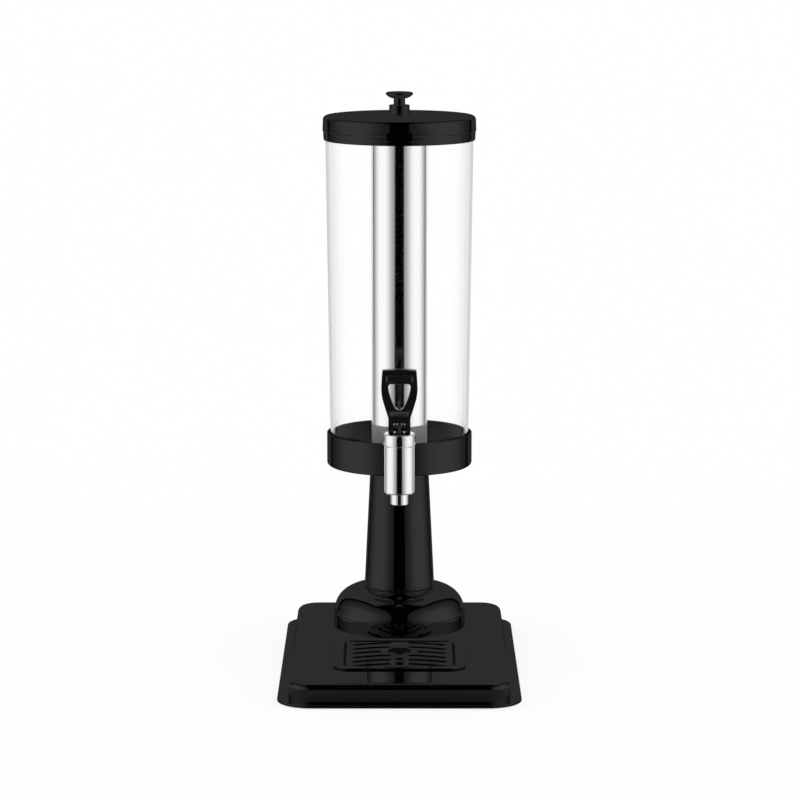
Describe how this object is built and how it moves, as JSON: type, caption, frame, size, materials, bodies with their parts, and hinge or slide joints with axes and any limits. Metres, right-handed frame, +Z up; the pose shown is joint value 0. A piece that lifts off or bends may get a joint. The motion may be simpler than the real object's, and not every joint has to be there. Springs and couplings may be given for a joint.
{
  "type": "beer tower dispenser",
  "caption": "Table-top drink tower: black base with drip tray, spun pedestal, clear tapered vessel, steel ice tube under a knobbed lid, chromed tap with pull lever.",
  "frame": {"origin": "on the table, under the middle of the base's lip; the feet stand on z = 0", "axes": "+Z up along the tower; the tap and the drip tray face -Y; +X to the viewer's right"},
  "size_m": [0.214, 0.333, 0.518],
  "materials": {
    "deck_black": "high gloss",
    "tray_black": "high gloss",
    "grille_black": "gloss",
    "pedestal_black": "high gloss lacquer",
    "knob_black": "high gloss",
    "lever_black": "satin gloss",
    "plate_steel": "mill finish",
    "fastener_steel": "zinc plated",
    "foot_rubber": "matte",
    "seal_silicone": "soft, milky",
    "vessel_clear": "clear polycarbonate, polished",
    "tube_steel": "mirror-polished stainless steel",
    "tap_chrome": "polished plate",
    "stem_plastic": "moulded",
    "spring_steel": "drawn wire",
    "nylon_grey": "moulded"
  },
  "bodies": {
    "stand": {"base_shell": "deck_black", "bottom_plate": "plate_steel", "plate_screws": "fastener_steel", "rubber_feet": "foot_rubber", "pedestal_dome": "pedestal_black", "pedestal_column": "pedestal_black", "column_locator": "nylon_grey", "tie_rod": "fastener_steel", "rod_top_washer": "fastener_steel", "rod_top_nut": "fastener_steel", "rod_spreader": "fastener_steel", "rod_bottom_nut": "fastener_steel", "collar_cup": "pedestal_black", "collar_hub": "fastener_steel", "vessel_cushion": "foot_rubber", "vessel": "vessel_clear", "shank_washer": "tap_chrome", "wall_seal": "seal_silicone", "nut_seal": "seal_silicone", "shank_nut": "tap_chrome", "faucet_body": "tap_chrome", "faucet_bonnet": "tap_chrome", "bonnet_seal": "foot_rubber", "stem_spring": "spring_steel"},
    "tray": {"drip_tray": "tray_black"},
    "grille": {"drip_grille": "grille_black"},
    "lid": {"lid_shell": "pedestal_black", "lid_gasket": "seal_silicone", "tube_ring": "knob_black", "ice_tube": "tube_steel", "ice_tube_base": "tube_steel", "tube_seal": "seal_silicone", "knob_washer": "knob_black", "knob_base": "knob_black", "knob": "knob_black", "knob_nut": "fastener_steel"},
    "stem": {"faucet_stem": "stem_plastic", "seat_cup": "seal_silicone"},
    "lever": {"lever_handle": "lever_black", "lever_pin": "fastener_steel"}
  },
  "joints": [
    {"name": "lid_lift", "type": "slide", "parent": "stand", "child": "lid", "axis": [0, 0, 1], "range_m": [0, 0.32]},
    {"name": "tray_lift", "type": "slide", "parent": "stand", "child": "tray", "axis": [0, 0, 1], "range_m": [0, 0.04]},
    {"name": "grille_lift", "type": "slide", "parent": "tray", "child": "grille", "axis": [0, 0, 1], "range_m": [0, 0.04]},
    {"name": "stem_lift", "type": "slide", "parent": "stand", "child": "stem", "axis": [0, 0, 1], "range_m": [0, 0.004], "stiffness_N_per_m": 1500, "deforming": ["stem_spring"]},
    {"name": "lever_tilt", "type": "hinge", "parent": "stem", "child": "lever", "pos_m": [0, -0.027, 0.224], "axis": [1, 0, 0], "range_deg": [0, 45]}
  ],
  "couplings": [
    {"joint": "lever_tilt", "follows": "stem_lift", "rad_per_m": 196.3}
  ]
}
